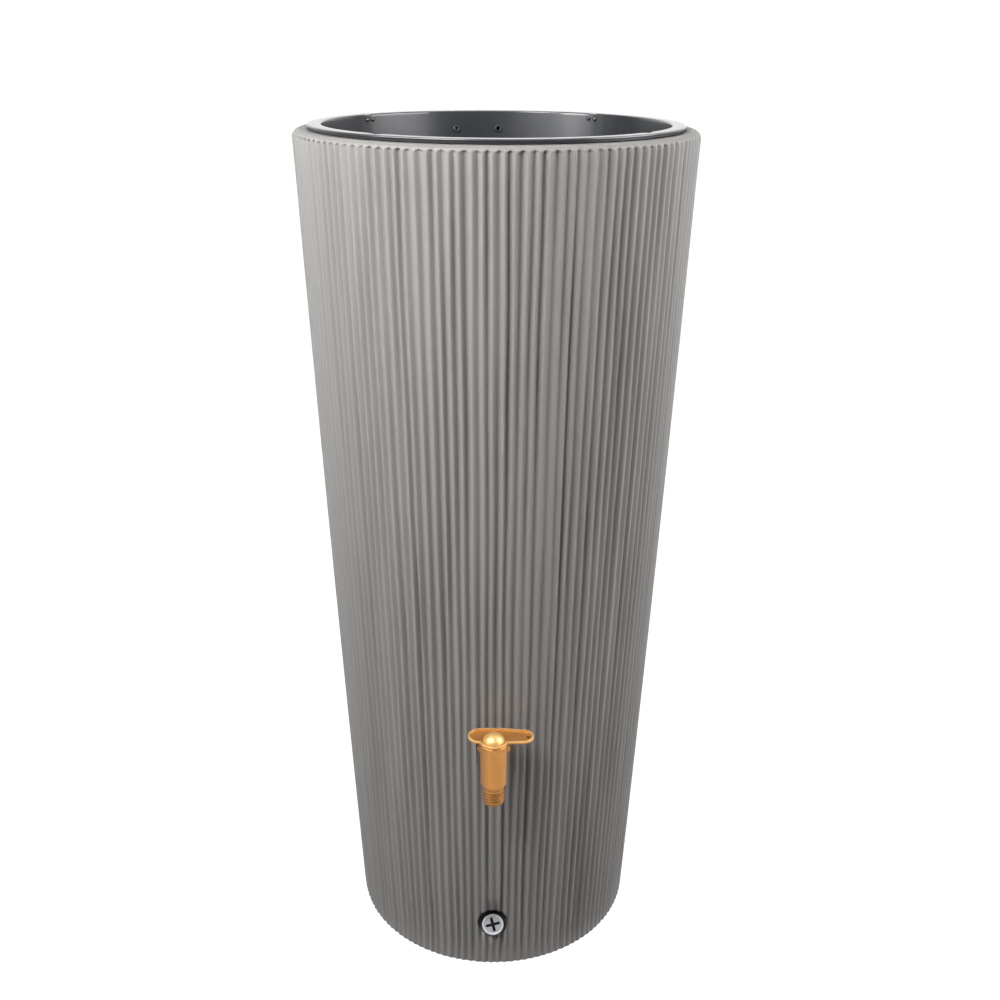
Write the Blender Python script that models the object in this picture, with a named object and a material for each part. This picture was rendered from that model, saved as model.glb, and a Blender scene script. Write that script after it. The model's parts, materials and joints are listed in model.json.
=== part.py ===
# Rain barrel with a lift-out planter insert, a brass tap and a recessed drain plug.
# Metres, +Z up. The origin is the centre of the flat base, and the tap faces -Y.

import math

import bmesh
import bpy
from mathutils import Matrix

# Tank
HEIGHT = 1.3165
BASE_RADIUS = 0.235
TOP_RADIUS = 0.290
BULGE = 0.0023
FOOT_ROUND = 0.004
SHOULDER = 0.011
WALL = 0.008
FLOOR = 0.007
MOUTH_RADIUS = 0.2565
MOUTH_DEPTH = 0.018
ROUND_STEPS = 72
GAP = 0.0003
SEAT = 2 * GAP  # a flat head on the round inner wall stands this far off it

# Planter insert
RIM_THICKNESS = 0.0062
RIM_TOP = HEIGHT + GAP + RIM_THICKNESS
RIM_RADIUS = 0.2680
RIM_STEP = 0.0012
PLANTER_RADIUS = 0.2487
PLANTER_WALL = 0.004
PLANTER_DEPTH = 0.230
PLANTER_FLOOR_RADIUS = 0.222
SPACER_ANGLES = (52.5, 142.5, 232.5, 322.5)
SPACER_WIDTH = 0.030
SPACER_HEIGHT = 0.022
SPACER_THICKNESS = 0.0026
SCREW_DROP = 0.0085
SCREW_SPACING = 0.012
SCREW_RADIUS = 0.0015
SCREW_HOLE = SCREW_RADIUS + GAP
OVERFLOW_ANGLES = (89.4, 105.6)
OVERFLOW_DROP = 0.0277
EYELET_BORE = 0.003
EYELET_RADIUS = 0.0042

# Tap
TAP_AXIS = -0.306
INLET_HEIGHT = 0.442
OUTLET_BOTTOM = 0.3812
THREAD_TOP = 0.405
NECK_TOP = 0.4125
CASING_TOP = 0.4846
CASING_LOW_RADIUS = 0.0195
CASING_TOP_RADIUS = 0.0207
THREAD_RADIUS = 0.0166
THREAD_ROOT = 0.0154
NECK_RADIUS = 0.0160
THREAD_PITCH = 0.0046
OUTLET_BORE = 0.0125
CHAMBER_RADIUS = 0.0145
CHAMBER_FLOOR = 0.4170
SHANK_RADIUS = 0.0132
SHANK_BORE = 0.0090
SHANK_LENGTH = 0.036
FLANGE_CORNER = 0.0254
FLANGE_THICKNESS = 0.006
SEAL_RADIUS = 0.0215
SEAL_THICKNESS = 0.0025
SPOT_FACE_RADIUS = 0.0262
SPOT_FACE_DEPTH = 0.0035
PAD_THICKNESS = 0.006

# Tap plug and lever
STEM_RADIUS = 0.0062
STEM_TOP = 0.4870
PLUG_CEILING = 0.4640
PORT_RADIUS = 0.0088
O_RING_SECTION = 0.0011
LEVER_BOTTOM = CASING_TOP + GAP
LEVER_FACE = 0.4862
LEVER_TOP = 0.4886
LEVER_BORDER = 0.0030
LEVER_HUB = 0.0207
DOME_RADIUS = 0.0164
DOME_HEIGHT = 0.0125
DOME_WALL = 0.0018

# Drain, measured outwards along its own tilted axis from the floor of its pocket
DRAIN_HEIGHT = 0.0848
DRAIN_TILT = 20
POCKET_RADIUS = 0.0252
POCKET_DEPTH = 0.0125
POCKET_RISE = 0.004  # the pocket's centre lies this far above the plug's
BOSS_WALL = 0.005
BUSH_RADIUS = 0.0162
BUSH_BORE = 0.0135
BUSH_FLANGE = 0.0205
BUSH_FLANGE_THICKNESS = 0.003
PLUG_THREAD = 0.0132
PLUG_ROOT = 0.0122
PLUG_PITCH = 0.001814
HEAD_RADIUS = 0.0179
HEAD_HEIGHT = 0.006
SLOT_LENGTH = 0.0245
SLOT_WIDTH = 0.0050
SLOT_DEPTH = 0.0048
SLOT_TURN = 15

# Base colour, roughness, metallic
FINISHES = {
    "taupe_plastic": ((0.235, 0.225, 0.210, 1), 0.55, 0),
    "anthracite_plastic": ((0.022, 0.023, 0.026, 1), 0.25, 0),
    "brass": ((0.640, 0.330, 0.090, 1), 0.35, 1),
    "grey_plastic": ((0.430, 0.440, 0.470, 1), 0.40, 0),
    "black_plastic": ((0.030, 0.030, 0.030, 1), 0.45, 0),
    "rubber": ((0.020, 0.020, 0.020, 1), 0.70, 0),
    "steel": ((0.150, 0.150, 0.155, 1), 0.35, 1),
}


def material(name):
    if name in bpy.data.materials:
        return bpy.data.materials[name]
    colour, roughness, metallic = FINISHES[name]
    made = bpy.data.materials.new(name)
    made.use_nodes = True
    shader = made.node_tree.nodes["Principled BSDF"]
    shader.inputs["Base Color"].default_value = colour
    shader.inputs["Roughness"].default_value = roughness
    shader.inputs["Metallic"].default_value = metallic
    return made


def node(name, bm, finish, place=None):
    # Makes an object from the bmesh, with round faces shaded smooth.
    bmesh.ops.remove_doubles(bm, verts=bm.verts, dist=1e-6)
    bmesh.ops.recalc_face_normals(bm, faces=bm.faces)
    mesh = bpy.data.meshes.new(name)
    bm.to_mesh(mesh)
    bm.free()
    mesh.shade_smooth()
    mesh.set_sharp_from_angle(angle=math.radians(35))
    obj = bpy.data.objects.new(name, mesh)
    obj.matrix_world = place or Matrix.Identity(4)
    mesh.materials.append(material(finish))
    bpy.context.scene.collection.objects.link(obj)
    return obj


def boolean(obj, bm, place=None, operation="DIFFERENCE"):
    # The helper stays in the scene as a hidden wire object, and the modifier stays live.
    helper = node(f"{obj.name}_cutter", bm, "rubber", place)
    helper.hide_render = True
    helper.display_type = "WIRE"
    modifier = obj.modifiers.new(operation.lower(), "BOOLEAN")
    modifier.operation = operation
    modifier.object = helper
    return helper


def turned(profile, steps=48):
    # Spins a closed (radius, height) outline about Z; an edge that lies on the axis is left out.
    bm = bmesh.new()
    verts = [bm.verts.new((radius, 0, height)) for radius, height in profile]
    pairs = zip(verts, verts[1:] + verts[:1])
    edges = [bm.edges.new(pair) for pair in pairs if max(pair[0].co.x, pair[1].co.x) > 1e-6]
    bmesh.ops.spin(bm, geom=verts + edges, cent=(0, 0, 0), axis=(0, 0, 1), dvec=(0, 0, 0),
                   angle=math.tau, steps=steps, use_merge=True, use_duplicate=False)
    bmesh.ops.remove_doubles(bm, verts=bm.verts, dist=1e-6)
    return bm


def rod(radius, low, high, steps=32):
    return turned([(0, low), (radius, low), (radius, high), (0, high)], steps)


def ring(inner, outer, low, high, steps=32):
    return turned([(inner, low), (outer, low), (outer, high), (inner, high)], steps)


def arc(centre, radius, start, end, steps):
    # Points about a centre, from the start angle to the end angle in degrees.
    turns = [math.radians(start + (end - start) * i / steps) for i in range(steps + 1)]
    return [(centre[0] + radius * math.cos(t), centre[1] + radius * math.sin(t)) for t in turns]


def slab(outline, low, high):
    bm = bmesh.new()
    face = bm.faces.new([bm.verts.new((x, y, low)) for x, y in outline])
    grown = bmesh.ops.extrude_face_region(bm, geom=[face])["geom"]
    top = [item for item in grown if isinstance(item, bmesh.types.BMVert)]
    bmesh.ops.translate(bm, verts=top, vec=(0, 0, high - low))
    return bm


def wall_radius(height):
    t = height / HEIGHT
    return BASE_RADIUS + (TOP_RADIUS - BASE_RADIUS) * t + 4 * BULGE * t * (1 - t)


def facing_front(height, inset=0.0, tilt=0.0):
    # Local +Z points out of the front wall; inset is measured inwards from the wall's surface.
    out = Matrix.Translation((0, inset - wall_radius(height), height))
    return out @ Matrix.Rotation(math.radians(90 - tilt), 4, "X")


def on_planter(angle, drop):
    # Local +Z points outwards through the planter's wall, from its inner face.
    turn = Matrix.Rotation(math.radians(angle), 4, "Z")
    lean = math.atan2(PLANTER_RADIUS - PLANTER_FLOOR_RADIUS, PLANTER_DEPTH)
    out = Matrix.Translation((PLANTER_RADIUS - math.tan(lean) * drop, 0, RIM_TOP - drop))
    return turn @ out @ Matrix.Rotation(math.radians(90) + lean, 4, "Y")


DRAIN_PLACE = facing_front(DRAIN_HEIGHT - 0.004, POCKET_DEPTH, DRAIN_TILT)
POCKET_PLACE = DRAIN_PLACE @ Matrix.Translation((0, POCKET_RISE, 0))
TAP_FACE = facing_front(INLET_HEIGHT, SPOT_FACE_DEPTH)
TAP_PLACE = Matrix.Translation((0, TAP_AXIS, 0))


def make_tank():
    rows = 5
    straight = HEIGHT - SHOULDER - FOOT_ROUND
    heights = [FOOT_ROUND + straight * i / rows for i in range(1, rows)]
    foot = wall_radius(0) - FOOT_ROUND
    outline = [(0, 0)] + arc((foot, FOOT_ROUND), FOOT_ROUND, -90, 0, 3)
    outline += [(wall_radius(height), height) for height in heights]
    outline += arc((TOP_RADIUS - SHOULDER, HEIGHT - SHOULDER), SHOULDER, 0, 90, 4)
    outline += [(0, HEIGHT)]
    shell = node("tank_shell", turned(outline, ROUND_STEPS), "taupe_plastic")

    collar = HEIGHT - MOUTH_DEPTH
    inside = [(0, FLOOR), (wall_radius(0) - WALL - 0.010, FLOOR)]
    inside += [(wall_radius(height) - WALL, height) for height in [0.02] + heights[1:-1]]
    inside += [(wall_radius(collar - 0.035) - WALL, collar - 0.035), (MOUTH_RADIUS, collar)]
    inside += [(MOUTH_RADIUS, HEIGHT + 0.01), (0, HEIGHT + 0.01)]
    hollow = boolean(shell, turned(inside, ROUND_STEPS))
    # What the hollow leaves standing: the drain's boss and the pad behind the tap.
    boolean(hollow, rod(POCKET_RADIUS + BOSS_WALL, -BOSS_WALL, 0.06), POCKET_PLACE)
    boolean(hollow, rod(SPOT_FACE_RADIUS + 0.004, -PAD_THICKNESS, 0.04), TAP_FACE)

    boolean(shell, rod(POCKET_RADIUS, 0, 0.06, 48), POCKET_PLACE)
    boolean(shell, rod(BUSH_RADIUS + GAP, -0.03, 0.01), DRAIN_PLACE)
    boolean(shell, rod(SPOT_FACE_RADIUS, 0, 0.04, 48), TAP_FACE)
    boolean(shell, rod(SHANK_RADIUS + 0.0008, -0.03, 0.01), TAP_FACE)


def make_planter():
    floor = RIM_TOP - PLANTER_DEPTH
    wall_top = HEIGHT + GAP
    outline = [(0, floor - PLANTER_WALL), (PLANTER_FLOOR_RADIUS - 0.010, floor - PLANTER_WALL)]
    outline += [(PLANTER_FLOOR_RADIUS + PLANTER_WALL, floor + 0.010)]
    outline += [(PLANTER_RADIUS + PLANTER_WALL - 0.0012, wall_top - 0.0255)]
    outline += [(PLANTER_RADIUS + PLANTER_WALL - 0.0012, wall_top), (RIM_RADIUS - RIM_STEP, wall_top)]
    outline += [(RIM_RADIUS - RIM_STEP, wall_top + 0.0030), (RIM_RADIUS, wall_top + 0.0036)]
    outline += arc((RIM_RADIUS - 0.0018, RIM_TOP - 0.0018), 0.0018, 0, 90, 3)
    outline += arc((PLANTER_RADIUS + 0.002, RIM_TOP - 0.002), 0.002, 90, 180, 3)
    outline += arc((PLANTER_FLOOR_RADIUS - 0.012, floor + 0.012), 0.012, 0, -90, 4)
    outline += [(0, floor)]
    planter = node("planter_insert", turned(outline, 60), "anthracite_plastic")
    for angle in OVERFLOW_ANGLES:
        boolean(planter, rod(EYELET_RADIUS + GAP, -0.01, 0.01, 16), on_planter(angle, OVERFLOW_DROP))

    spread = math.degrees(SCREW_SPACING / 2 / PLANTER_RADIUS)
    half_turn = math.degrees(SPACER_WIDTH / 2 / MOUTH_RADIUS)
    inner = PLANTER_RADIUS + PLANTER_WALL - 0.0012 + GAP
    middle = RIM_TOP - SCREW_DROP - 0.001
    screw_count = 0
    for number, angle in enumerate(SPACER_ANGLES, start=1):
        outline = arc((0, 0), inner, angle - half_turn, angle + half_turn, 4)
        outline += arc((0, 0), inner + SPACER_THICKNESS, angle + half_turn, angle - half_turn, 4)
        low, high = middle - SPACER_HEIGHT / 2, min(middle + SPACER_HEIGHT / 2, wall_top - GAP)
        spacer = node(f"planter_spacer_{number}", slab(outline, low, high), "black_plastic")
        for side in (-spread, spread):
            screw_count += 1
            place = on_planter(angle + side, SCREW_DROP)
            boolean(planter, rod(SCREW_HOLE, -0.01, 0.01, 12), place)
            boolean(spacer, rod(SCREW_HOLE, -0.01, 0.02, 12), place)
            # A pan head inside the insert, and a shank through the wall into the spacer.
            screw = [(0, -0.0026), (0.0018, -0.0026), (0.0028, -0.0018), (0.0028, -SEAT)]
            screw += [(SCREW_RADIUS, -SEAT), (SCREW_RADIUS, 0.0058), (0, 0.0058)]
            node(f"planter_screw_{screw_count}", turned(screw, 12), "steel", place)

    for number, angle in enumerate(OVERFLOW_ANGLES, start=1):
        # A flanged sleeve pressed into the overflow hole from inside.
        eyelet = [(EYELET_BORE, -0.0022), (0.0048, -0.0022), (0.0056, -0.0014), (0.0056, -SEAT)]
        eyelet += [(EYELET_RADIUS, -SEAT), (EYELET_RADIUS, 0.0065), (EYELET_BORE, 0.0065)]
        place = on_planter(angle, OVERFLOW_DROP)
        node(f"overflow_eyelet_{number}", turned(eyelet, 20), "anthracite_plastic", place)


def make_tap():
    outline = [(OUTLET_BORE, OUTLET_BOTTOM), (THREAD_ROOT, OUTLET_BOTTOM)]
    turns = int((THREAD_TOP - OUTLET_BOTTOM - 0.003) / THREAD_PITCH)
    for turn in range(turns):
        low = OUTLET_BOTTOM + 0.0008 + turn * THREAD_PITCH
        outline += [(THREAD_RADIUS, low + 0.0010), (THREAD_RADIUS, low + 0.0020)]
        outline += [(THREAD_ROOT, low + 0.0030), (THREAD_ROOT, low + 0.0038)]
    outline += [(THREAD_ROOT, THREAD_TOP - 0.0015), (THREAD_RADIUS, THREAD_TOP - 0.001)]
    outline += [(THREAD_RADIUS, THREAD_TOP + 0.001), (NECK_RADIUS, THREAD_TOP + 0.002)]
    outline += [(NECK_RADIUS, NECK_TOP), (CASING_LOW_RADIUS - 0.001, NECK_TOP + 0.001)]
    outline += [(CASING_LOW_RADIUS, NECK_TOP + 0.003), (CASING_TOP_RADIUS, CASING_TOP - 0.0006)]
    outline += [(CASING_TOP_RADIUS - 0.0006, CASING_TOP), (0.0165, CASING_TOP)]
    outline += [(0.0165, CASING_TOP - 0.006), (CHAMBER_RADIUS, CASING_TOP - 0.006)]
    outline += [(CHAMBER_RADIUS, CHAMBER_FLOOR), (OUTLET_BORE, CHAMBER_FLOOR)]
    body = node("tap_body", turned(outline, 28), "brass", TAP_PLACE)

    # The inlet: a shank through the tank's wall, a hexagon flange outside it and an arm to the casing.
    seat = SEAL_THICKNESS + 2 * GAP
    arm = -wall_radius(INLET_HEIGHT) + SPOT_FACE_DEPTH - TAP_AXIS
    inlet = [(0, -SHANK_LENGTH + seat), (SHANK_RADIUS, -SHANK_LENGTH + seat), (SHANK_RADIUS, seat)]
    inlet += [(0.0150, seat + 0.002), (0.0150, seat + FLANGE_THICKNESS)]
    inlet += [(0.0140, seat + FLANGE_THICKNESS + 0.002), (0.0140, arm - 0.0165), (0, arm - 0.0165)]
    boolean(body, turned(inlet, 24), TAP_FACE, "UNION")
    boolean(body, rod(FLANGE_CORNER, seat, seat + FLANGE_THICKNESS, 6), TAP_FACE, "UNION")
    boolean(body, rod(SHANK_BORE, -0.05, arm - 0.003, 28), TAP_FACE)

    inside = -PAD_THICKNESS - GAP
    hole = SHANK_RADIUS + GAP
    node("tap_outer_seal", ring(hole, SEAL_RADIUS, GAP, GAP + SEAL_THICKNESS), "rubber", TAP_FACE)
    node("tap_inner_seal", ring(hole, SEAL_RADIUS, inside - SEAL_THICKNESS, inside), "rubber", TAP_FACE)
    inside -= SEAL_THICKNESS + GAP
    node("tap_slip_washer", ring(hole, 0.0225, inside - 0.0015, inside), "grey_plastic", TAP_FACE)
    inside -= 0.0015 + GAP
    nut = node("tap_lock_nut", rod(0.0230, inside - 0.009, inside, 6), "brass", TAP_FACE)
    boolean(nut, rod(hole, inside - 0.02, inside + 0.01), TAP_FACE)


def make_valve():
    low, high = CHAMBER_FLOOR + GAP, CASING_TOP - 0.006 - GAP
    skirt, groove = CHAMBER_RADIUS - GAP, CHAMBER_RADIUS - 0.0026
    ring_heights = (0.4225, 0.4700)
    outline = [(0.0108, low), (skirt, low)]
    for height in ring_heights:
        outline += [(skirt, height - 0.0014), (groove, height - 0.0014)]
        outline += [(groove, height + 0.0014), (skirt, height + 0.0014)]
    outline += [(skirt, high), (STEM_RADIUS, high), (STEM_RADIUS, STEM_TOP), (0, STEM_TOP)]
    outline += [(0, PLUG_CEILING), (0.0108, PLUG_CEILING)]
    plug = node("tap_plug", turned(outline, 24), "black_plastic", TAP_PLACE)
    # The port faces sideways while the tap is shut and the tank once the lever is turned.
    port = Matrix.Translation((0, TAP_AXIS, INLET_HEIGHT)) @ Matrix.Rotation(math.radians(-90), 4, "Y")
    boolean(plug, rod(PORT_RADIUS, 0, 0.03, 24), port)
    boolean(plug, rod(0.0019, 0.4720, 0.5000, 16), TAP_PLACE)
    for name, height in zip(("tap_lower_o_ring", "tap_upper_o_ring"), ring_heights):
        section = arc((CHAMBER_RADIUS - 0.0014, height), O_RING_SECTION, 0, 300, 5)
        node(name, turned(section, 20), "rubber", TAP_PLACE)
    gland = ring(STEM_RADIUS + GAP, 0.0162, high + 2 * GAP, CASING_TOP - GAP, 32)
    node("tap_gland", gland, "brass", TAP_PLACE)


def lever_outline(shrink):
    # Seen from above: a straight back, a round hub at the front, a broad and a narrow arm.
    left, right, back, front = -0.0380 + shrink, 0.0590 - shrink, 0.0310 - shrink, -0.0065 + shrink
    hub = LEVER_HUB - shrink
    side = math.degrees(math.asin(front / hub))
    points = arc((0, 0), hub, 180 - side, 360 + side, 12)
    tip_back, tip_front = back - 0.0035, front + 0.0010
    radius = (tip_back - tip_front) / 2
    points += arc((right - radius, tip_front + radius), radius, -90, 90, 8)
    points += [(0.012, back), (-0.012, back)]
    radius = (back - front) / 2 - 0.0005
    points += arc((left + radius, front + 0.0005 + radius), radius, 90, 270, 8)
    return points


def make_lever():
    lever = node("tap_lever", slab(lever_outline(0), LEVER_BOTTOM, LEVER_TOP), "brass", TAP_PLACE)
    boolean(lever, slab(lever_outline(LEVER_BORDER), LEVER_FACE, LEVER_TOP + 0.01), TAP_PLACE)
    boolean(lever, rod(STEM_RADIUS + GAP, 0.47, 0.50), TAP_PLACE)
    cord_hole = Matrix.Translation((0.0505, TAP_AXIS + 0.0105, 0))
    boolean(lever, rod(0.0021, 0.47, 0.50, 16), cord_hole)

    foot = LEVER_FACE + GAP
    sphere = (DOME_RADIUS ** 2 + DOME_HEIGHT ** 2) / (2 * DOME_HEIGHT)
    centre = (0, foot + DOME_HEIGHT - sphere)
    start = math.degrees(math.atan2(foot - centre[1], DOME_RADIUS))
    dome = arc(centre, sphere, start, 90, 7)
    inner = sphere - DOME_WALL
    start = math.degrees(math.asin((foot - centre[1]) / inner))
    dome += arc(centre, inner, 90, start, 5)
    node("tap_dome_cap", turned(dome, 28), "brass", TAP_PLACE)
    screw = [(0, 0.4740), (0.0016, 0.4740), (0.0016, STEM_TOP + GAP), (0.0078, STEM_TOP + GAP)]
    screw += [(0.0078, STEM_TOP + 0.0015), (0.0045, STEM_TOP + 0.0030), (0, STEM_TOP + 0.0030)]
    node("tap_lever_screw", turned(screw, 20), "steel", TAP_PLACE)


def make_drain():
    bush = [(BUSH_BORE, -0.0200), (BUSH_RADIUS, -0.0200), (BUSH_RADIUS, GAP), (BUSH_FLANGE, GAP)]
    bush += [(BUSH_FLANGE, BUSH_FLANGE_THICKNESS), (BUSH_BORE, BUSH_FLANGE_THICKNESS)]
    node("drain_bush", turned(bush, 28), "black_plastic", DRAIN_PLACE)
    inside = -BOSS_WALL - GAP
    seal = ring(BUSH_RADIUS + GAP, 0.0240, inside - 0.0025, inside)
    node("drain_back_seal", seal, "rubber", DRAIN_PLACE)
    inside -= 0.0025 + GAP
    nut = node("drain_back_nut", rod(0.0240, inside - 0.008, inside, 6), "black_plastic", DRAIN_PLACE)
    boolean(nut, rod(BUSH_RADIUS + GAP, inside - 0.02, inside + 0.01), DRAIN_PLACE)

    section = arc((PLUG_THREAD + 0.0014, BUSH_FLANGE_THICKNESS + GAP + 0.0011), 0.0011, 0, 300, 5)
    node("drain_o_ring", turned(section, 24), "rubber", DRAIN_PLACE)
    head = BUSH_FLANGE_THICKNESS + 2 * GAP + 0.0022
    top = head + HEAD_HEIGHT
    outline = [(0, -0.0120), (PLUG_ROOT, -0.0120)]
    for turn in range(3):
        low = -0.0120 + 2 * turn * PLUG_PITCH
        outline += [(PLUG_THREAD, low + 0.0006), (PLUG_THREAD, low + 0.0010), (PLUG_ROOT, low + 0.0016)]
    outline += [(PLUG_ROOT, head), (HEAD_RADIUS, head), (HEAD_RADIUS, top - 0.0012)]
    outline += [(HEAD_RADIUS - 0.0012, top), (HEAD_RADIUS - 0.0032, top)]
    outline += [(HEAD_RADIUS - 0.0040, top - 0.0010), (0, top - 0.0010)]
    plug = node("drain_plug", turned(outline, 28), "grey_plastic", DRAIN_PLACE)
    across, half = SLOT_LENGTH / 2, SLOT_WIDTH / 2
    bar = [(-across, -half), (across, -half), (across, half), (-across, half)]
    for turn in (SLOT_TURN, SLOT_TURN + 90):
        place = DRAIN_PLACE @ Matrix.Rotation(math.radians(turn), 4, "Z")
        boolean(plug, slab(bar, top - SLOT_DEPTH, top + 0.01), place)


for old in list(bpy.data.objects):
    bpy.data.objects.remove(old)
make_tank()
make_planter()
make_tap()
make_valve()
make_lever()
make_drain()
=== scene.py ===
import json
import math
import random

import bmesh
import bpy
from mathutils import Matrix, Vector


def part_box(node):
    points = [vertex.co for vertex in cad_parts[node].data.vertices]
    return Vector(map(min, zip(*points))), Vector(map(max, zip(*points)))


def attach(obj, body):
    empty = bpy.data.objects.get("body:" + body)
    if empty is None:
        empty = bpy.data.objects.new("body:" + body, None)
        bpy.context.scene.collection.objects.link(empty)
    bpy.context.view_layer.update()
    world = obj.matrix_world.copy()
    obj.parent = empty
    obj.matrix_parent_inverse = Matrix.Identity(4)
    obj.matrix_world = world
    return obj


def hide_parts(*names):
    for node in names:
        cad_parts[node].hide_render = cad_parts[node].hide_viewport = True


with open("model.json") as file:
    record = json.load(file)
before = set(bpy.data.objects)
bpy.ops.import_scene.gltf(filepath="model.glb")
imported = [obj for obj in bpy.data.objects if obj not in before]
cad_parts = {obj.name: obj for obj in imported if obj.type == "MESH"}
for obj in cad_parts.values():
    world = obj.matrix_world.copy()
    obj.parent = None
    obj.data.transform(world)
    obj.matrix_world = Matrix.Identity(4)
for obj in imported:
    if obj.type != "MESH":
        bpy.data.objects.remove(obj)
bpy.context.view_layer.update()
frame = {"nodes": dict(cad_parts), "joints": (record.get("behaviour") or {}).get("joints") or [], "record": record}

print("frame loaded")


# mesh helpers, all in metres

def turned(profile, steps):
    # spins a closed (radius, height) outline about Z; edges lying on the axis are left out
    bm = bmesh.new()
    verts = [bm.verts.new((radius, 0, height)) for radius, height in profile]
    pairs = zip(verts, verts[1:] + verts[:1])
    edges = [bm.edges.new(pair) for pair in pairs if max(pair[0].co.x, pair[1].co.x) > 1e-6]
    bmesh.ops.spin(bm, geom=verts + edges, cent=(0, 0, 0), axis=(0, 0, 1), dvec=(0, 0, 0),
                   angle=math.tau, steps=steps, use_merge=True, use_duplicate=False)
    bmesh.ops.remove_doubles(bm, verts=bm.verts, dist=1e-6)
    return bm


def rod(radius, low, high, steps=48):
    return turned([(0, low), (radius, low), (radius, high), (0, high)], steps)


def arc(centre, radius, start, end, steps):
    turns = [math.radians(start + (end - start) * i / steps) for i in range(steps + 1)]
    return [(centre[0] + radius * math.cos(t), centre[1] + radius * math.sin(t)) for t in turns]


def rounded(points, radius, steps=3):
    # every corner of a closed outline that is off the axis becomes a small curve
    result = []
    for i, point in enumerate(points):
        corner = Vector(point)
        before, after = Vector(points[i - 1]), Vector(points[(i + 1) % len(points)])
        cut = min(radius, 0.4 * (before - corner).length, 0.4 * (after - corner).length)
        if point[0] < 1e-6 or cut < 1e-5:
            result.append(point)
            continue
        first = corner + (before - corner).normalized() * cut
        last = corner + (after - corner).normalized() * cut
        for s in range(steps + 1):
            t = s / steps
            spot = first * (1 - t) ** 2 + corner * 2 * t * (1 - t) + last * t * t
            result.append((spot.x, spot.y))
    return result


def plate(outline, low, high):
    bm = bmesh.new()
    face = bm.faces.new([bm.verts.new((x, y, low)) for x, y in outline])
    grown = bmesh.ops.extrude_face_region(bm, geom=[face])["geom"]
    top = [item for item in grown if isinstance(item, bmesh.types.BMVert)]
    bmesh.ops.translate(bm, verts=top, vec=(0, 0, high - low))
    return bm


def softenEdges(bm, width, sharper, segments):
    # bevels the edges whose faces meet at more than the given angle
    bmesh.ops.recalc_face_normals(bm, faces=bm.faces)
    edges = [e for e in bm.edges if e.is_manifold and e.calc_face_angle(0) > math.radians(sharper)]
    bmesh.ops.bevel(bm, geom=edges, offset=width, offset_type="OFFSET", segments=segments,
                    profile=0.5, affect="EDGES", material=-1, clamp_overlap=True)


def smooth(mesh, under):
    mesh.shade_smooth()
    mesh.set_sharp_from_angle(angle=math.radians(under))


def toObject(name, bm, place=None):
    bmesh.ops.remove_doubles(bm, verts=bm.verts, dist=1e-6)
    if place:
        bm.transform(place)
    bmesh.ops.recalc_face_normals(bm, faces=bm.faces)
    mesh = bpy.data.meshes.new(name)
    bm.to_mesh(mesh)
    bm.free()
    smooth(mesh, 35)
    made = bpy.data.objects.new(name, mesh)
    bpy.context.scene.collection.objects.link(made)
    return made


def carve(piece, other, operation="DIFFERENCE", smoothUnder=35):
    # one exact Boolean, applied at once; the helper goes away
    modifier = piece.modifiers.new("carve", "BOOLEAN")
    modifier.operation = operation
    modifier.object = other
    modifier.solver = "EXACT"
    bpy.context.view_layer.update()
    graph = bpy.context.evaluated_depsgraph_get()
    mesh = bpy.data.meshes.new_from_object(piece.evaluated_get(graph))
    piece.modifiers.clear()
    piece.data = mesh
    bpy.data.objects.remove(other)
    smooth(mesh, smoothUnder)


def mergedCopy(node):
    # the node's own mesh is loose triangles, so the copy is closed first
    bm = bmesh.new()
    bm.from_mesh(frame["nodes"][node].data)
    bmesh.ops.remove_doubles(bm, verts=bm.verts, dist=2e-6)
    return toObject(node + "Copy", bm)


def finish(piece, finishName, body, *nodes):
    piece.data.materials.clear()
    piece.data.materials.append(finishes[finishName])
    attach(piece, body)
    if nodes:
        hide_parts(*nodes)


# shader helpers

class Wire:
    # wraps a socket so that expressions on it add Math nodes
    def __init__(self, sheet, socket):
        self.sheet = sheet
        self.socket = socket

    def math(self, operation, *others, swap=False):
        values = [self, *others]
        if swap:
            values.reverse()
        inputs = {i: value for i, value in enumerate(values)}
        return self.sheet.node("ShaderNodeMath", {"operation": operation}, inputs)

    def __add__(self, other): return self.math("ADD", other)
    __radd__ = __add__
    def __mul__(self, other): return self.math("MULTIPLY", other)
    __rmul__ = __mul__
    def __sub__(self, other): return self.math("SUBTRACT", other)
    def __rsub__(self, other): return self.math("SUBTRACT", other, swap=True)
    def __truediv__(self, other): return self.math("DIVIDE", other)
    def __rtruediv__(self, other): return self.math("DIVIDE", other, swap=True)
    def __pow__(self, other): return self.math("POWER", other)

    def clamped(self):
        return self.sheet.node("ShaderNodeClamp", {}, {"Value": self})


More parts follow.
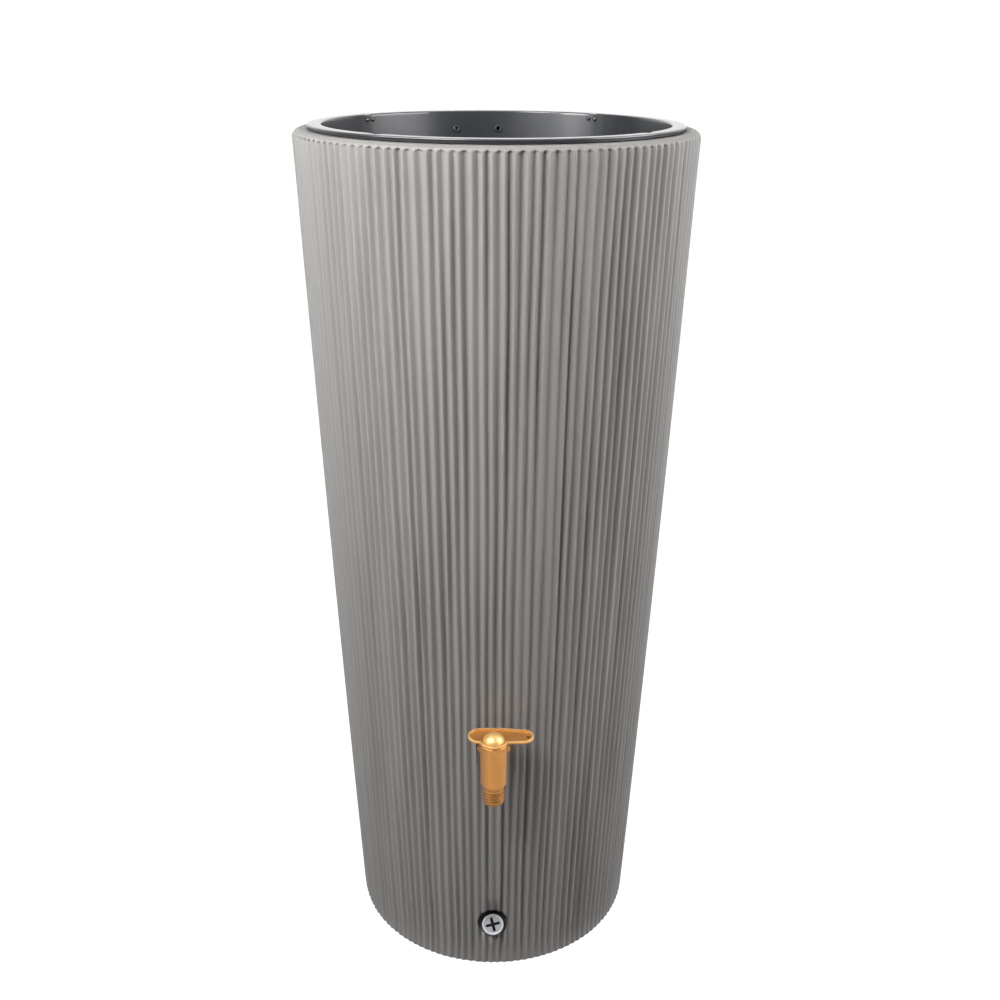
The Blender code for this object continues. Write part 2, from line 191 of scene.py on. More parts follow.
class Sheet:
    # one material's node tree, with its shader's constant sockets set directly
    def __init__(self, name, **fixed):
        self.material = bpy.data.materials.new(name)
        self.material.use_nodes = True
        self.tree = self.material.node_tree
        self.shader = self.tree.nodes["Principled BSDF"]
        for socket, value in fixed.items():
            self.shader.inputs[socket.replace("_", " ")].default_value = value
        self.objectPoint = self.node("ShaderNodeTexCoord", {}, {}, "Object")

    def node(self, kind, settings, inputs, output=0):
        made = self.tree.nodes.new(kind)
        for key, value in settings.items():
            setattr(made, key, value)
        for key, value in inputs.items():
            if isinstance(value, Wire):
                self.tree.links.new(value.socket, made.inputs[key])
            else:
                made.inputs[key].default_value = value
        return Wire(self, made.outputs[output])

    def coordinates(self):
        split = self.node("ShaderNodeSeparateXYZ", {}, {"Vector": self.objectPoint}).socket.node
        return [Wire(self, split.outputs[i]) for i in range(3)]

    def stretched(self, x, y, z):
        return self.node("ShaderNodeMapping", {}, {"Vector": self.objectPoint, "Scale": (x, y, z)})

    def noise(self, scale, detail, rough=0.5, point=None):
        inputs = {"Vector": point or self.objectPoint, "Scale": scale,
                  "Detail": detail, "Roughness": rough}
        return self.node("ShaderNodeTexNoise", {}, inputs)

    def mix(self, factor, first, second):
        # the numbers are the node's colour sockets
        return self.node("ShaderNodeMix", {"data_type": "RGBA"}, {0: factor, 6: first, 7: second}, 2)

    def spread(self, value, low, high):
        # a 0 to 1 value spread from low to high
        return value * (high - low) + low

    def bump(self, height, distance, strength, under=None):
        inputs = {"Height": height, "Distance": distance, "Strength": strength}
        if under:
            inputs["Normal"] = under
        return self.node("ShaderNodeBump", {}, inputs)

    def into(self, **links):
        for socket, value in links.items():
            self.tree.links.new(value.socket, self.shader.inputs[socket.replace("_", " ")])
        return self.material


def grey(value):
    return (value, value, value, 1.0)


def tinted(red, green, blue):
    return (red, green, blue, 1.0)


# finishes

tankPaint = {
    "base": tinted(0.248, 0.242, 0.234), "pale": tinted(0.294, 0.288, 0.280),
    "dustAndCreaseShade": tinted(0.150, 0.142, 0.130), "dustAndShadeShare": 0.55, "dustAndShadeCurve": 1.6, "speckleShare": 0.16,
    "roughness": (0.46, 0.62), "grain": 0.00018, "waves": 0.0006,
}


def taupePlastic():
    s = Sheet("taupe_plastic", IOR=1.47, Specular_IOR_Level=0.42)
    x, y, z = s.coordinates()
    radius = (x * x + y * y) ** 0.5
    # valley is 0 on the ridges and 1 at full pleat depth
    valley = ((ridgeRadius(z) - radius) / tank["depth"]).clamped()
    drifts = s.noise(2.2, 4)
    streaks = s.noise(60, 3, 0.6, s.stretched(1, 1, 0.03))
    speckle = s.noise(900, 2, 0.6)
    colour = s.mix(drifts * 0.5 + streaks * 0.5, tankPaint["base"], tankPaint["pale"])
    # darker with valley depth: partly dust, partly painted shade in the creases and hollows
    dustAndShade = (valley ** tankPaint["dustAndShadeCurve"]) * tankPaint["dustAndShadeShare"]
    colour = s.mix(dustAndShade, colour, tankPaint["dustAndCreaseShade"])
    colour = s.mix(speckle * tankPaint["speckleShare"], colour, grey(0.10))
    rough = s.spread(s.noise(35, 4), *tankPaint["roughness"])
    grain = s.bump(s.noise(1400, 2, 0.6), tankPaint["grain"], 0.5)
    waves = s.bump(s.noise(55, 2), tankPaint["waves"], 0.4, grain)
    return s.into(Base_Color=colour, Roughness=rough, Normal=waves)


insertPaint = {
    "dark": tinted(0.016, 0.017, 0.020), "pale": tinted(0.025, 0.026, 0.030), "scuffed": grey(0.06),
    "roughness": (0.28, 0.42), "coat": (0.03, 1.0), "coatStart": 0.0045, "coatFade": 0.0020,
}


def anthracitePlastic():
    # the clear coat is full on the rim's top only
    s = Sheet("anthracite_plastic", IOR=1.50, Coat_Roughness=0.06)
    height = s.coordinates()[2]
    aboveStart = height - planter["rimTop"] + insertPaint["coatStart"]
    polished = (aboveStart / insertPaint["coatFade"]).clamped()
    cloud = s.noise(9, 4)
    scuff = s.noise(180, 3, 0.65, s.stretched(1, 1, 0.15))
    colour = s.mix(cloud, insertPaint["dark"], insertPaint["pale"])
    colour = s.mix((scuff ** 3.0) * 0.25, colour, insertPaint["scuffed"])
    rough = s.spread(scuff, *insertPaint["roughness"])
    coat = s.spread(polished, *insertPaint["coat"])
    peel = s.bump(s.noise(90, 2), 0.00010, 0.15)
    return s.into(Base_Color=colour, Roughness=rough, Coat_Weight=coat, Normal=peel)


brassPaint = {
    "deep": tinted(0.50, 0.215, 0.052), "warm": tinted(0.64, 0.300, 0.080),
    "pitted": tinted(0.34, 0.160, 0.045), "wornAndHighlit": tinted(0.92, 0.570, 0.215),
    "shaded": tinted(0.26, 0.110, 0.025), "grooveShadeColour": tinted(0.16, 0.065, 0.015),
    "roughness": (0.34, 0.48), "grit": 0.00022, "casting": 0.0006,
    "wornHighlightAbove": 0.0010, "wornHighlightFade": 0.0008, "grooveFade": 0.0011, "grooveSkin": 0.0001,
    "holeMargin": 0.0004, "holeFade": 0.0002, "shadeStart": 0.007, "shadeFade": 0.009,
}


def castBrass():
    # masks by place: the border and cap, lighter from polish wear and a painted highlight; painted shade in the
    # thread grooves and the cord hole; painted shade on the left side
    s = Sheet("brass", Metallic=0.7)
    paint = brassPaint
    x, y, z = s.coordinates()
    y = y - tap["axisY"]
    radius = (x * x + y * y) ** 0.5
    # painted highlight: the raised border and the dome cap are lighter, partly polish wear
    wornAndHighlit = ((z - lever["face"] - paint["wornHighlightAbove"]) / paint["wornHighlightFade"]).clamped()
    # painted shade: the thread grooves are darkened with their depth
    onThread = ((tap["neckTop"] + 0.001 - z) / 0.001).clamped()
    inGroove = (tap["threadRadius"] - paint["grooveSkin"] - radius) / paint["grooveFade"]
    grooveShade = onThread * inGroove.clamped()
    # painted shade: the cord hole's walls below the face are nearly black
    fromHole = ((x - lever["cordHole"][0]) ** 2.0 + (y - lever["cordHole"][1]) ** 2.0) ** 0.5
    inHole = (lever["cordHoleRadius"] + paint["holeMargin"] - fromHole) / paint["holeFade"]
    belowFace = (lever["face"] - 0.0001 - z) / 0.0003
    hole = inHole.clamped() * belowFace.clamped()
    leftward = (-paint["shadeStart"] - x) / paint["shadeFade"]
    shaded = leftward.clamped() * ((lever["low"] - z) / 0.0005).clamped()
    blotch = s.noise(70, 4, 0.6)
    grit = s.noise(1500, 2, 0.6)
    colour = s.mix(blotch, paint["deep"], paint["warm"])
    colour = s.mix((s.noise(330, 3, 0.6) ** 2.5) * 0.7, colour, paint["pitted"])
    colour = s.mix(wornAndHighlit, colour, paint["wornAndHighlit"])
    colour = s.mix(shaded * 0.7, colour, paint["shaded"])
    colour = s.mix(grooveShade * 0.75, colour, paint["grooveShadeColour"])
    colour = s.mix(hole, colour, grey(0.01))
    rough = s.spread(s.noise(420, 3), *paint["roughness"])
    cast = s.bump(grit, paint["grit"], 0.55)
    return s.into(Base_Color=colour, Roughness=rough, Normal=s.bump(blotch, paint["casting"], 0.25, cast))


def plainPlastic(name, dark, pale, roughness):
    s = Sheet(name, IOR=1.48)
    colour = s.mix(s.noise(120, 4, 0.6), dark, pale)
    rough = s.spread(s.noise(300, 3), roughness - 0.06, roughness + 0.10)
    return s.into(Base_Color=colour, Roughness=rough, Normal=s.bump(s.noise(1100, 2), 0.00015, 0.4))


plugPaint = {
    "dark": tinted(0.380, 0.388, 0.410), "pale": tinted(0.470, 0.478, 0.500),
    "border": tinted(0.700, 0.710, 0.740), "slotShadeColour": grey(0.003),
    "borderHighlightAbove": 0.0003, "borderHighlightFade": 0.0003, "slotShadeBelow": 0.0006, "slotShadeFade": 0.0008,
}


def plugPlastic():
    # the plug's raised border is painted lighter than its face as a highlight, and its slots are painted
    # near-black as shade
    s = Sheet("grey_plastic", IOR=1.48)
    offset = s.node("ShaderNodeVectorMath", {"operation": "SUBTRACT"},
                    {0: s.objectPoint, 1: turnJoint["pos_m"]})
    level = s.node("ShaderNodeVectorMath", {"operation": "DOT_PRODUCT"}, {0: offset, 1: outwards}, 1)
    face = drain["seat"] + drain["height"] - drain["sunk"]
    # painted highlight on the raised border
    border = ((level - face - plugPaint["borderHighlightAbove"]) / plugPaint["borderHighlightFade"]).clamped()
    # painted shade: the slots below the face go nearly black
    slot = ((face - plugPaint["slotShadeBelow"] - level) / plugPaint["slotShadeFade"]).clamped()
    cloud = s.noise(160, 4, 0.6)
    colour = s.mix(cloud, plugPaint["dark"], plugPaint["pale"])
    colour = s.mix(border, colour, plugPaint["border"])
    colour = s.mix(slot, colour, plugPaint["slotShadeColour"])
    return s.into(Base_Color=colour, Roughness=s.spread(cloud, 0.30, 0.44) + slot * 0.5,
                  Normal=s.bump(s.noise(1100, 2), 0.00015, 0.4))


def sealRubber():
    s = Sheet("rubber", IOR=1.50, Specular_IOR_Level=0.35)
    colour = s.mix(s.noise(200, 4), grey(0.014), grey(0.030))
    return s.into(Base_Color=colour, Roughness=s.spread(s.noise(500, 3), 0.55, 0.78),
                  Normal=s.bump(s.noise(1600, 2), 0.0001, 0.4))


def turnedSteel():
    s = Sheet("steel", Metallic=1.0)
    lathe = s.noise(900, 2, 0.5, s.stretched(1, 1, 6))
    colour = s.mix(lathe, grey(0.10), grey(0.17))
    return s.into(Base_Color=colour, Roughness=s.spread(lathe, 0.24, 0.40),
                  Normal=s.bump(lathe, 0.00006, 0.4))


# the tank: a turned solid with pleats pressed into it, cut to the wall by the frame's own shell

tank = {
    "height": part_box("tank_shell")[1][2], "topRadius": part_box("tank_shell")[1][0],
    "baseRadius": 0.235, "bulge": 0.0023, "footRound": 0.004, "shoulder": 0.011,
    "ribs": 127, "columns": 8, "rows": 36, "depth": 0.0045, "depthSpread": 0.26,
    "jitter": 0.11, "wander": 0.07, "lowRidges": 0.14, "skew": 0.05, "triangle": 0.80,
    "plainBand": 0.0066, "fadeLength": 0.0036, "scoop": 0.0026, "footFade": 0.025, "footShare": 0.35,
    "deepest": 0.0062, "skin": 0.0004, "seed": 5,
}

def ridgeRadius(z):
    # takes a number or a shader value
    t = z / tank["height"]
    growth = tank["topRadius"] - tank["baseRadius"]
    return tank["baseRadius"] + growth * t + 4 * tank["bulge"] * t * (1 - t)


def smoothStep(value):
    value = min(max(value, 0.0), 1.0)
    return value * value * (3 - 2 * value)


def makeRib(rng):
    phases = [rng.uniform(0, math.tau) for _ in range(5)]
    jitter = rng.uniform(-1, 1) * tank["jitter"]
    lowering = max(0.0, rng.uniform(-1.2, 1.0)) * tank["lowRidges"]
    depthBias = rng.uniform(-1, 1) * 0.5
    pace = rng.uniform(0.8, 1.25)

    def at(z):
        # how far the ridge strays sideways in rib widths, how low it lies, how deep its valley is
        stray = jitter + tank["wander"] * (
            0.6 * math.sin(7.1 * pace * z + phases[0]) + 0.4 * math.sin(17.3 * pace * z + phases[1]))
        low = lowering * (0.65 + 0.35 * math.sin(5.3 * z + phases[2])) * tank["depth"]
        depth = 1 + tank["depthSpread"] * (depthBias + 0.6 * math.sin(6.1 * pace * z + phases[3])
                                           + 0.25 * math.sin(21 * z + phases[4]))
        return stray, low, depth * tank["depth"]
    return at


def pressPleats(bm):
    rng = random.Random(tank["seed"])
    ribs = [makeRib(rng) for _ in range(tank["ribs"])]
    skews = [rng.uniform(-tank["skew"], tank["skew"]) for _ in ribs]
    columns, footShare = tank["columns"], tank["footShare"]
    step = math.tau / (tank["ribs"] * columns)
    ribEnd = tank["height"] - tank["plainBand"]
    remembered = {}
    for vert in bm.verts:
        radius = math.hypot(vert.co.x, vert.co.y)
        if radius < tank["baseRadius"] * 0.9:
            continue
        z = vert.co.z
        index = round(math.atan2(vert.co.y, vert.co.x) / step) % (tank["ribs"] * columns)
        k, u = index // columns, (index % columns) / columns
        hollow = math.sin(math.pi * u) ** 2
        fade = smoothStep((ribEnd + tank["scoop"] * hollow - z) / tank["fadeLength"])
        fade *= footShare + (1 - footShare) * smoothStep(z / tank["footFade"])
        level = round(z, 5)
        if level not in remembered:
            remembered[level] = [rib(z) for rib in ribs]
        here, following = remembered[level][k], remembered[level][(k + 1) % tank["ribs"]]
        across = u + skews[k] * math.sin(math.pi * u)
        turn = (k + (here[0] * (1 - across) + following[0] * across) * fade + across) * columns * step
        lowered = here[1] * (1 - u) + following[1] * u
        straight = tank["triangle"] * (1 - abs(2 * u - 1))
        pressed = here[2] * (straight + (1 - tank["triangle"]) * hollow)
        radius -= min(lowered + pressed, tank["deepest"]) * fade
        vert.co.x = radius * math.cos(turn)
        vert.co.y = radius * math.sin(turn)


def makeTank():
    skin, foot, shoulder = tank["skin"], tank["footRound"], tank["shoulder"]
    low, high = 0.0002, tank["height"] - 0.0002
    outline = [(0, low), (tank["baseRadius"] - foot - skin, low)]
    outline += arc((tank["baseRadius"] - foot - skin, low + foot), foot, -60, 0, 3)
    first, last = low + foot, high - shoulder
    for i in range(1, tank["rows"]):
        z = first + (last - first) * i / tank["rows"]
        outline.append((ridgeRadius(z) - skin, z))
    outline += arc((tank["topRadius"] - shoulder - skin, last), shoulder, 0, 90, 22)
    outline.append((0, high))
    bm = turned(outline, tank["ribs"] * tank["columns"])
    pressPleats(bm)
    piece = toObject("pleatedTank", bm)
    carve(piece, mergedCopy("tank_shell"), "INTERSECT", 40)
    finish(piece, "taupe_plastic", "tank", "tank_shell")
    print("tank made:", len(piece.data.polygons), "faces")


# the planter insert

planter = {
    "rimTop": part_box("planter_insert")[1][2], "rimRadius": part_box("planter_insert")[1][0],
    "floorZ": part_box("planter_insert")[0][2] + 0.004, "mouthRadius": 0.2487, "floorRadius": 0.222,
    "depth": 0.230, "wall": 0.0040, "rimBase": 0.0062, "step": 0.0012, "stepRise": 0.0031,
    "lip": 0.0022, "rimCurve": 0.0018, "floorCurve": 0.014, "shoulderDrop": 0.0255, "edge": 0.0006,
    "notchReach": 0.006, "steps": 320,
    "notchAngles": (52.5, 142.5, 232.5, 322.5), "notchWidth": 0.006, "notchDepth": 0.0014,
    "eyeletHole": 0.0045,
}


def makePlanter():
    top, base, wall = planter["rimTop"], planter["rimTop"] - planter["rimBase"], planter["wall"]
    mouth, floorRadius, floorZ = planter["mouthRadius"], planter["floorRadius"], planter["floorZ"]
    rim, lip, rimCurve = planter["rimRadius"], planter["lip"], planter["rimCurve"]
    outer, inset, curve = mouth + wall - 0.0012, rim - planter["step"], planter["floorCurve"]
    stepTop = base + planter["stepRise"]
    outline = [(0, floorZ - wall), (floorRadius - 0.010, floorZ - wall)]
    outline += [(floorRadius + wall, floorZ + 0.010), (outer, base - planter["shoulderDrop"])]
    outline += [(outer, base), (inset, base), (inset, stepTop), (rim, stepTop + 0.0006)]
    outline = rounded(outline, planter["edge"])
    outline += arc((rim - rimCurve, top - rimCurve), rimCurve, 0, 90, 5)
    outline += arc((mouth + lip, top - lip), lip, 90, 180, 6)
    outline += arc((floorRadius - curve, floorZ + curve), curve, 0, -90, 8)
    outline += [(0, floorZ)]
    bm = turned(outline, planter["steps"])
    notchEnd = mouth + planter["notchReach"]
    for vert in bm.verts:
        radius = math.hypot(vert.co.x, vert.co.y)
        if vert.co.z < top - 0.004 or radius > notchEnd:
            continue
        turn = math.atan2(vert.co.y, vert.co.x)
        for angle in planter["notchAngles"]:
            away = (turn - math.radians(angle) + math.pi) % math.tau - math.pi
            share = smoothStep(1.6 - abs(away) * mouth / planter["notchWidth"])
            vert.co.z -= share * planter["notchDepth"] * smoothStep((notchEnd - radius) / 0.004)
    piece = toObject("planterBowl", bm)
    for number in (1, 2):
        place = radialPlace(f"overflow_eyelet_{number}")
        carve(piece, toObject("hole", rod(planter["eyeletHole"], -0.02, 0.02, 32), place))
    finish(piece, "anthracite_plastic", "planter", "planter_insert")
    print("planter made:", len(piece.data.polygons), "faces")


def radialPlace(node):
    # local +Z runs outwards through the insert's leaning wall, from the node's innermost point
    low, high = (Vector(corner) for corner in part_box(node))
    middle = (low + high) / 2
    mesh = frame["nodes"][node].data
    inmost = min(math.hypot(vert.co.x, vert.co.y) for vert in mesh.vertices)
    turn = math.atan2(middle.y, middle.x)
    lean = math.atan2(planter["mouthRadius"] - planter["floorRadius"], planter["depth"])
    spot = Matrix.Translation((inmost, 0, middle.z + 0.0002))
    return Matrix.Rotation(turn, 4, "Z") @ spot @ Matrix.Rotation(math.radians(90) + lean, 4, "Y")


fittings = {"screwHead": 0.0029, "screwRise": 0.0020, "screwShank": 0.0015, "screwLength": 0.0084,
            "crossWidth": 0.0009, "crossLength": 0.0034, "eyeletBore": 0.0030, "eyeletFlange": 0.0056,
            "eyeletSleeve": 0.0042, "eyeletLength": 0.0087}


def makeScrew(number):
    head, rise = fittings["screwHead"], fittings["screwRise"]
    place = radialPlace(f"planter_screw_{number}")
    outline = [(0, 0.0)]
    for turn in map(math.radians, (25, 50, 70, 84)):
        outline.append((head * math.sin(turn), rise * 0.8 * (1 - math.cos(turn))))
    outline += [(head, rise), (fittings["screwShank"], rise)]
    outline += [(fittings["screwShank"], fittings["screwLength"]), (0, fittings["screwLength"])]
    piece = toObject(f"planterScrew{number}", turned(outline, 28), place)
    long, wide = fittings["crossLength"] / 2, fittings["crossWidth"] / 2
    for turn in (number * 37, number * 37 + 90):
        bar = plate([(-long, -wide), (long, -wide), (long, wide), (-long, wide)], -0.002, 0.0010)
        carve(piece, toObject("slot", bar, place @ Matrix.Rotation(math.radians(turn), 4, "Z")))
    finish(piece, "steel", "planter", f"planter_screw_{number}")


def makeEyelet(number):
    bore, flange = fittings["eyeletBore"], fittings["eyeletFlange"]
    sleeve, length, thick = fittings["eyeletSleeve"], fittings["eyeletLength"], 0.0016
    outline = [(bore, 0.0004), (bore + 0.0008, 0), (flange - 0.0012, 0), (flange, thick / 2)]
    outline += [(flange, thick), (sleeve, thick), (sleeve, length), (bore, length)]
    piece = toObject(f"overflowEyelet{number}", turned(rounded(outline, 0.0004), 40),
                     radialPlace(f"overflow_eyelet_{number}"))
    finish(piece, "anthracite_plastic", "planter", f"overflow_eyelet_{number}")


# the tap

tapBox = [Vector(corner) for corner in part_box("tap_body")]
domeBox = [Vector(corner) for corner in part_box("tap_dome_cap")]
tap = {
    "axisY": (domeBox[0].y + domeBox[1].y) / 2, "bottom": tapBox[0].z, "top": tapBox[1].z,
    "inletZ": 0.442, "threadTop": 0.405, "neckTop": 0.4125, "threadRadius": 0.0166, "threadDepth": 0.0013,
    "threadPitch": 0.0046, "neckRadius": 0.0160, "lowRadius": 0.0195, "topRadius": 0.0207,
    "bore": 0.0125, "chamber": 0.0145, "chamberFloor": 0.417, "glandBore": 0.0165, "glandDepth": 0.006,
    "armRadius": 0.0140, "collarRadius": 0.0150,
    "flangeCorner": 0.0254, "flangeThickness": 0.006, "shankRadius": 0.0132, "shankBore": 0.0090,
}
tapPlace = Matrix.Translation((0, tap["axisY"], 0))


def helix(bm, low, high, radius, depth, pitch):
    # sinks the outer wall between low and high into a screw thread that runs out at both ends
    for vert in bm.verts:
        if low < vert.co.z < high and abs(math.hypot(vert.co.x, vert.co.y) - radius) < 1e-4:
            turn = math.atan2(vert.co.y, vert.co.x) / math.tau
            phase = (vert.co.z / pitch - turn) % 1.0
            ends = smoothStep((vert.co.z - low) / pitch) * smoothStep((high - vert.co.z) / pitch)
            sunk = depth * (1 - ends * (1 - abs(2 * phase - 1)))
            share = (radius - sunk) / radius
            vert.co.x *= share
            vert.co.y *= share


def makeTapCasing():
    bottom, threadTop, neckTop, top = tap["bottom"], tap["threadTop"], tap["neckTop"], tap["top"]
    thread, neck, bore = tap["threadRadius"], tap["neckRadius"], tap["bore"]
    rows = int((threadTop - bottom) / tap["threadPitch"] * 6)
    outline = [(bore, bottom + 0.0006), (bore + 0.0008, bottom), (thread - 0.0016, bottom)]
    start = bottom + 0.0004
    outline += [(thread, start + (threadTop - start) * i / rows) for i in range(rows + 1)]
    outline += rounded([(thread, threadTop + 0.0012), (neck, threadTop + 0.0022), (neck, neckTop),
                        (tap["lowRadius"] - 0.0012, neckTop + 0.0008),
                        (tap["lowRadius"], neckTop + 0.0032)], 0.0005)
    gland, ledge = tap["glandBore"], top - tap["glandDepth"]
    outline += [(tap["topRadius"], top - 0.0012), (tap["topRadius"] - 0.0010, top), (gland + 0.0005, top)]
    outline += [(gland, top - 0.0005), (gland, ledge), (tap["chamber"], ledge)]
    outline += [(tap["chamber"], tap["chamberFloor"]), (bore, tap["chamberFloor"])]
    bm = turned(outline, 96)
    helix(bm, bottom + 0.0003, threadTop - 0.0001, thread, tap["threadDepth"], tap["threadPitch"])
    piece = toObject("tapCasing", bm, tapPlace)

    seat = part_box("tap_outer_seal")[0][1] - 0.0003
    facing = Matrix.Translation((0, seat, tap["inletZ"])) @ Matrix.Rotation(math.radians(90), 4, "X")
    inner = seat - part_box("tap_body")[1][1]
    flange, corner = tap["flangeThickness"], tap["flangeCorner"]
    nut = toObject("flange", rod(corner, 0, flange, 6), facing)
    wide, front = corner * 1.02, flange + 0.0002
    chamfer = [(0, -0.01), (corner * 0.93, -0.01), (wide, 0.0004), (wide, flange - 0.0014)]
    chamfer += [(corner * 0.90, front), (0, front)]
    carve(nut, toObject("chamfer", turned(chamfer, 64), facing), "INTERSECT")
    carve(piece, nut, "UNION")
    shank, collar, armRadius = tap["shankRadius"], tap["collarRadius"], tap["armRadius"]
    reach = seat - tap["axisY"] - 0.0165
    arm = [(0, inner), (shank - 0.0008, inner), (shank, inner + 0.001), (shank, 0.001)]
    arm += [(collar, 0.001), (collar, flange), (armRadius, flange + 0.002)]
    arm += [(armRadius, reach), (0, reach)]
    carve(piece, toObject("arm", turned(rounded(arm, 0.0008), 64), facing), "UNION")
    carve(piece, toObject("bore", rod(tap["shankBore"], -0.06, seat - tap["axisY"] - 0.003, 48), facing))
    finish(piece, "brass", "tank", "tap_body")


lever = {
    "left": -0.0380, "right": 0.0590, "back": 0.0310, "front": -0.0065, "hub": 0.0207,
    "border": 0.0030, "low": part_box("tap_lever")[0][2], "high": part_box("tap_lever")[1][2],
    "face": 0.4862, "edge": 0.0009, "cordHole": (0.0505, 0.0105), "cordHoleRadius": 0.0021,
    "stemHole": 0.0065, "cutFrom": 0.47, "cutTo": 0.50,
}


def leverOutline(shrink):
    left, right = lever["left"] + shrink, lever["right"] - shrink
    back, front, hub = lever["back"] - shrink, lever["front"] + shrink, lever["hub"] - shrink
    side = math.degrees(math.asin(front / hub))
    points = arc((0, 0), hub, 180 - side, 360 + side, 28)
    tipBack, tipFront = back - 0.0035, front + 0.0010
    radius = (tipBack - tipFront) / 2
    points += arc((right - radius, tipFront + radius), radius, -90, 90, 18)
    points += [(0.012, back), (-0.012, back)]
    radius = (back - front) / 2 - 0.0005
    points += arc((left + radius, front + 0.0005 + radius), radius, 90, 270, 18)
    return points


def makeLever():
    bm = plate(leverOutline(0), lever["low"], lever["high"])
    softenEdges(bm, lever["edge"], 60, 3)
    piece = toObject("tapLever", bm, tapPlace)
    hollow = plate(leverOutline(lever["border"]), lever["face"], lever["high"] + 0.01)
    softenEdges(hollow, lever["edge"], 60, 3)
    carve(piece, toObject("hollow", hollow, tapPlace))
    cut = lever["cutFrom"], lever["cutTo"]
    carve(piece, toObject("stemHole", rod(lever["stemHole"], *cut), tapPlace))
    spot = Matrix.Translation((*lever["cordHole"], 0))
    carve(piece, toObject("cordHole", rod(lever["cordHoleRadius"], *cut, 32), tapPlace @ spot))
    finish(piece, "brass", "valve", "tap_lever")


dome = {"radius": (domeBox[1].x - domeBox[0].x) / 2, "height": domeBox[1].z - domeBox[0].z,
        "foot": domeBox[0].z, "wall": 0.0018}


def makeDome():
    radius, height, foot = dome["radius"], dome["height"], dome["foot"]
    sphere = (radius ** 2 + height ** 2) / (2 * height)
    centre = (0, foot + height - sphere)
    start = math.degrees(math.atan2(foot - centre[1], radius))
    outline = arc(centre, sphere, start, 90, 20)
    inner = sphere - dome["wall"]
    outline += arc(centre, inner, 90, math.degrees(math.asin((foot - centre[1]) / inner)), 10)
    piece = toObject("domeCap", turned(outline, 72), tapPlace)
    finish(piece, "brass", "valve", "tap_dome_cap")
    print("tap made")


# the drain plug, along its own tilted axis

turnJoint = next(joint for joint in frame["joints"] if joint["name"] == "drain_turn")
outwards = Vector(turnJoint["axis"])
drain = {
    "seat": 0.0058, "height": 0.006, "head": 0.0179, "border": 0.0027, "sunk": 0.0011,
    "thread": 0.0132, "threadDepth": 0.0010, "pitch": 0.001814, "length": 0.012,
    "slotLength": 0.0245, "slotWidth": 0.0050, "slotDepth": 0.0037, "slotTurn": 15,
}
drainPlace = Matrix.Translation(turnJoint["pos_m"]) @ Matrix.Rotation(
    math.atan2(-outwards.y, outwards.z), 4, "X")


def makeDrainPlug():
    seat, head, border = drain["seat"], drain["head"], drain["border"]
    top, low = seat + drain["height"], -drain["length"]
    rows = int((seat - low) / drain["pitch"] * 5)
    thread = [(drain["thread"], low + 0.0004 + (seat - 0.001 - low) * i / rows) for i in range(rows + 1)]
    outline = [(0, low), (drain["thread"] - 0.0012, low)] + thread
    outline += rounded([(drain["thread"] - 0.0004, seat), (head - 0.0004, seat), (head, seat + 0.0004),
                        (head, top - 0.0016), (head - 0.0012, top), (head - border, top),
                        (head - border - 0.0010, top - drain["sunk"])], 0.0007)
    outline += [(0.008, top - drain["sunk"]), (0, top - drain["sunk"])]
    bm = turned(outline, 96)
    helix(bm, low + 0.0003, seat - 0.0006, drain["thread"], drain["threadDepth"], drain["pitch"])
    piece = toObject("drainPlug", bm, drainPlace)
    long, wide = drain["slotLength"] / 2, drain["slotWidth"] / 2
    for turn in (drain["slotTurn"], drain["slotTurn"] + 90):
        outline = arc((long - wide, 0), wide, -90, 90, 8) + arc((wide - long, 0), wide, 90, 270, 8)
        bar = plate(outline, top - drain["sunk"] - drain["slotDepth"], top + 0.01)
        carve(piece, toObject("slot", bar, drainPlace @ Matrix.Rotation(math.radians(turn), 4, "Z")))
    finish(piece, "grey_plastic", "drain_plug", "drain_plug")
    print("drain plug made")


# the remaining nodes keep their shapes and take the new finishes

def refinish():
    for row in frame["record"]["subparts"]:
        node = frame["nodes"][row["node"]]
        for materialSlot in node.material_slots:
            materialSlot.material = finishes[row["material_slot"]]


# studio

studio = {
    "paper": grey(0.10), "glow": 1.0, "floorSize": 30, "backY": 12.0, "backWidth": 24.0,
    "backHeight": 16.0, "surroundRadius": 26.0, "surroundHeight": 40.0, "aim": (0, 0, 0.9),
    "sky": tinted(0.97, 0.98, 1.0), "skyStrength": 0.17,
    "keyPower": 26, "keySpot": (-1.50, -0.84, 1.95), "keySize": 0.9,
    "frontPower": 33, "frontSpot": (-0.75, -1.10, 2.2), "frontSize": 0.8,
    "sidePower": 36, "sideSpot": (1.6, -0.35, 1.65), "sideSize": 1.5,
    "topPower": 22, "topSpot": (0.2, 0.3, 3.6), "topSize": 1.6,
}


def addLight(name, power, spot, size, aim):
    data = bpy.data.lights.new(name, "AREA")
    data.energy = power
    data.shape = "DISK"
    data.size = size
    lamp = bpy.data.objects.new(name, data)
    facing = (Vector(aim) - Vector(spot)).to_track_quat("-Z", "Y").to_matrix().to_4x4()
    lamp.matrix_world = Matrix.Translation(spot) @ facing
    bpy.context.scene.collection.objects.link(lamp)


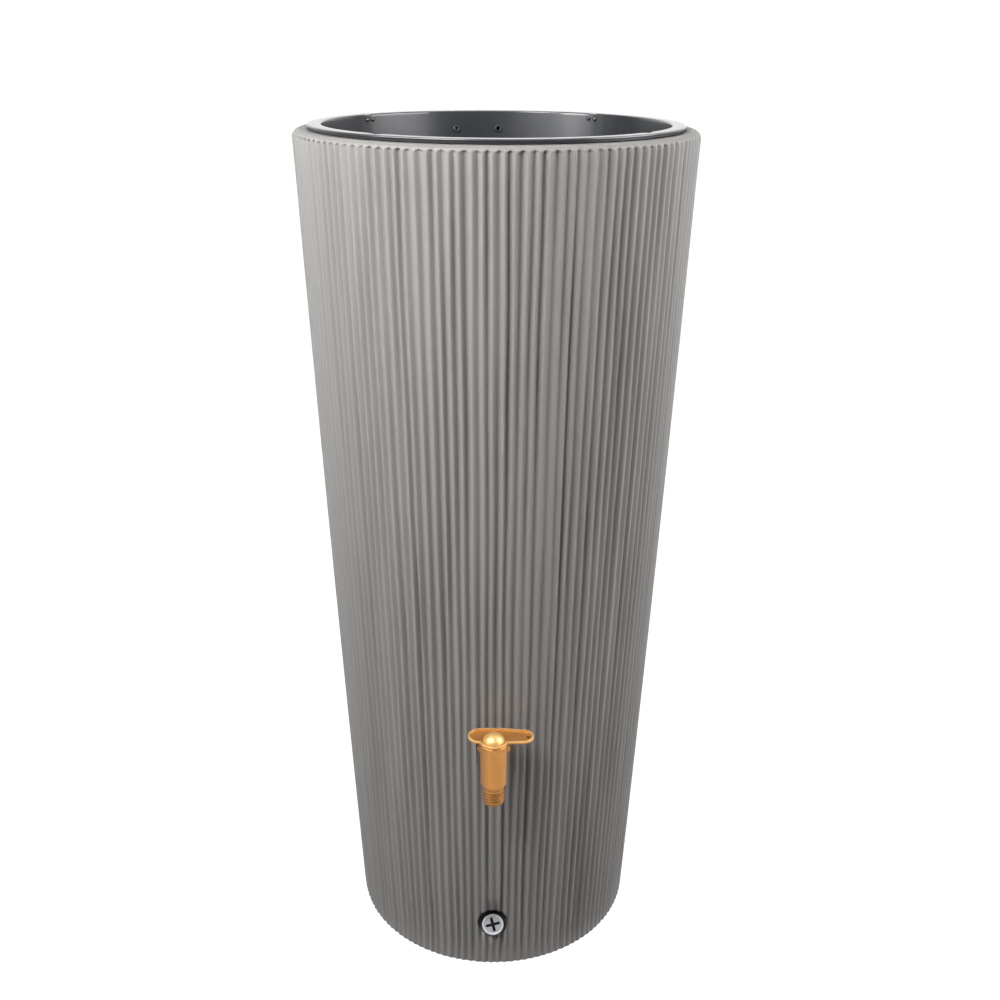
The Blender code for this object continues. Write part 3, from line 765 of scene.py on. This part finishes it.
def makeStudio():
    # white paper on the floor and behind, evenly bright so that no shadow shows on it
    s = Sheet("paper", Roughness=0.9, Emission_Color=grey(1.0), Emission_Strength=studio["glow"])
    paper = s.into(Base_Color=s.mix(s.noise(3, 3), studio["paper"], grey(0.12)))
    bm = bmesh.new()
    bmesh.ops.create_grid(bm, x_segments=1, y_segments=1, size=studio["floorSize"])
    floor = toObject("floor", bm)
    wide, high = studio["backWidth"], studio["backHeight"]
    upright = Matrix.Translation((0, studio["backY"], 0)) @ Matrix.Rotation(math.radians(90), 4, "X")
    sheet = plate([(-wide, -0.5), (wide, -0.5), (wide, high), (-wide, high)], -0.1, 0)
    back = toObject("backdrop", sheet, upright)
    far, tall = studio["surroundRadius"], studio["surroundHeight"]
    ring = turned([(far, -1), (far + 0.1, -1), (far + 0.1, tall), (far, tall)], 64)
    surround = toObject("surround", ring)
    surround.visible_glossy = False
    surround.visible_shadow = False
    for stage in (floor, back, surround):
        stage.data.materials.append(paper)
        stage.visible_diffuse = False
    for name in ("key", "front", "side", "top"):
        power, spot, size = (studio[name + part] for part in ("Power", "Spot", "Size"))
        addLight(name, power, spot, size, studio["aim"])
    world = bpy.data.worlds.new("studioSky")
    world.use_nodes = True
    background = world.node_tree.nodes["Background"]
    background.inputs["Color"].default_value = studio["sky"]
    background.inputs["Strength"].default_value = studio["skyStrength"]
    bpy.context.scene.world = world
    bpy.context.scene.view_settings.view_transform = "Standard"


view = {"spot": (0, -1.742, 1.450), "pitch": 22.157, "yaw": 0.272, "roll": 0.38,
        "lens": 41.88, "sensor": 36}


def makeCamera():
    data = bpy.data.cameras.new("camera")
    data.lens = view["lens"]
    data.sensor_width = view["sensor"]
    camera = bpy.data.objects.new("camera", data)
    heading = Matrix.Rotation(math.radians(-view["yaw"]), 4, "Z")
    tilt = Matrix.Rotation(math.radians(90 - view["pitch"]), 4, "X")
    roll = Matrix.Rotation(math.radians(view["roll"]), 4, "Z")
    camera.matrix_world = Matrix.Translation(view["spot"]) @ heading @ tilt @ roll
    bpy.context.scene.collection.objects.link(camera)
    bpy.context.scene.camera = camera


finishes = {
    "taupe_plastic": taupePlastic(),
    "anthracite_plastic": anthracitePlastic(),
    "brass": castBrass(),
    "grey_plastic": plugPlastic(),
    "black_plastic": plainPlastic("black_plastic", grey(0.018), grey(0.032), 0.42),
    "rubber": sealRubber(),
    "steel": turnedSteel(),
}
print("finishes made")

makeCamera()
makeStudio()
makeTank()
makePlanter()
for number in range(1, 9):
    makeScrew(number)
for number in (1, 2):
    makeEyelet(number)
makeTapCasing()
makeLever()
makeDome()
makeDrainPlug()
refinish()
